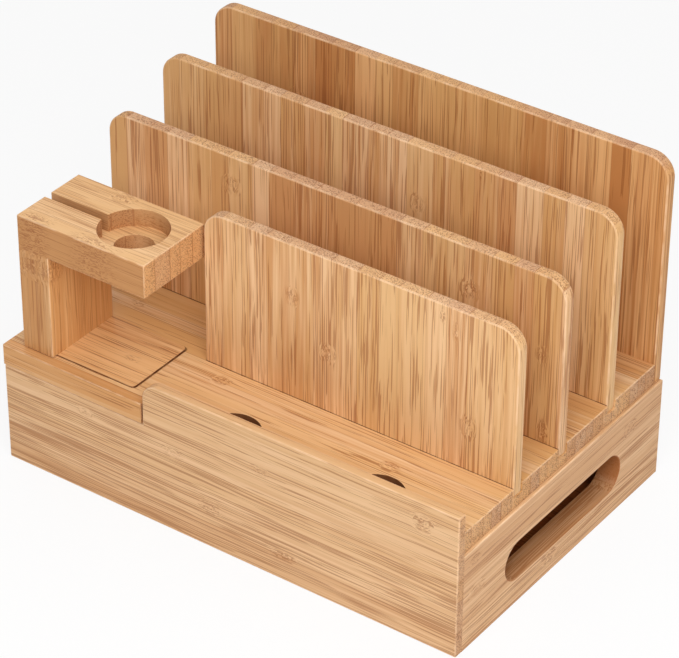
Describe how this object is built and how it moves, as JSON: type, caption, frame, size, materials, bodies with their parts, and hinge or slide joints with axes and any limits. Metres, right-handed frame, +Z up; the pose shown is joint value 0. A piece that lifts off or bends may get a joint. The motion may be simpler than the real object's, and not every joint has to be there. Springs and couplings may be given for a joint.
{
  "type": "charging station organizer",
  "caption": "Bamboo desk charging station: a lidded cable box with upright dividers for devices, a front lip, a side cable slot and a watch charging stand.",
  "frame": {"origin": "centre of the box's footprint, on the surface it stands on", "axes": "+X along the front towards the side with the cable slot, +Y from the front lip to the back board, +Z up"},
  "size_m": [0.2257, 0.1504, 0.1524],
  "materials": {
    "bamboo_pale": "satin",
    "bamboo_lid": "satin",
    "bamboo_upright": "satin",
    "bamboo_inner": "matte"
  },
  "bodies": {
    "box": {"front_panel": "bamboo_pale", "left_panel": "bamboo_pale", "right_panel": "bamboo_pale", "back_panel": "bamboo_pale", "bottom_panel": "bamboo_inner"},
    "lid": {"lid_board": "bamboo_lid", "back_board": "bamboo_upright", "lid_cleat_left": "bamboo_inner", "lid_cleat_right": "bamboo_inner"},
    "front_divider": {"front_divider": "bamboo_upright"},
    "middle_divider": {"middle_divider": "bamboo_upright"},
    "rear_divider": {"rear_divider": "bamboo_upright"},
    "watch_stand": {"stand_plate": "bamboo_pale", "stand_post": "bamboo_pale", "stand_arm": "bamboo_pale"}
  },
  "joints": [
    {"name": "lid_lift", "type": "slide", "parent": "box", "child": "lid", "axis": [0, 0, 1], "range_m": [0, 0.04]},
    {"name": "front_divider_lift", "type": "slide", "parent": "lid", "child": "front_divider", "axis": [0, 0, 1], "range_m": [0, 0.03]},
    {"name": "middle_divider_lift", "type": "slide", "parent": "lid", "child": "middle_divider", "axis": [0, 0, 1], "range_m": [0, 0.03]},
    {"name": "rear_divider_lift", "type": "slide", "parent": "lid", "child": "rear_divider", "axis": [0, 0, 1], "range_m": [0, 0.03]},
    {"name": "stand_lift", "type": "slide", "parent": "lid", "child": "watch_stand", "axis": [0, 0, 1], "range_m": [0, 0.03]}
  ]
}
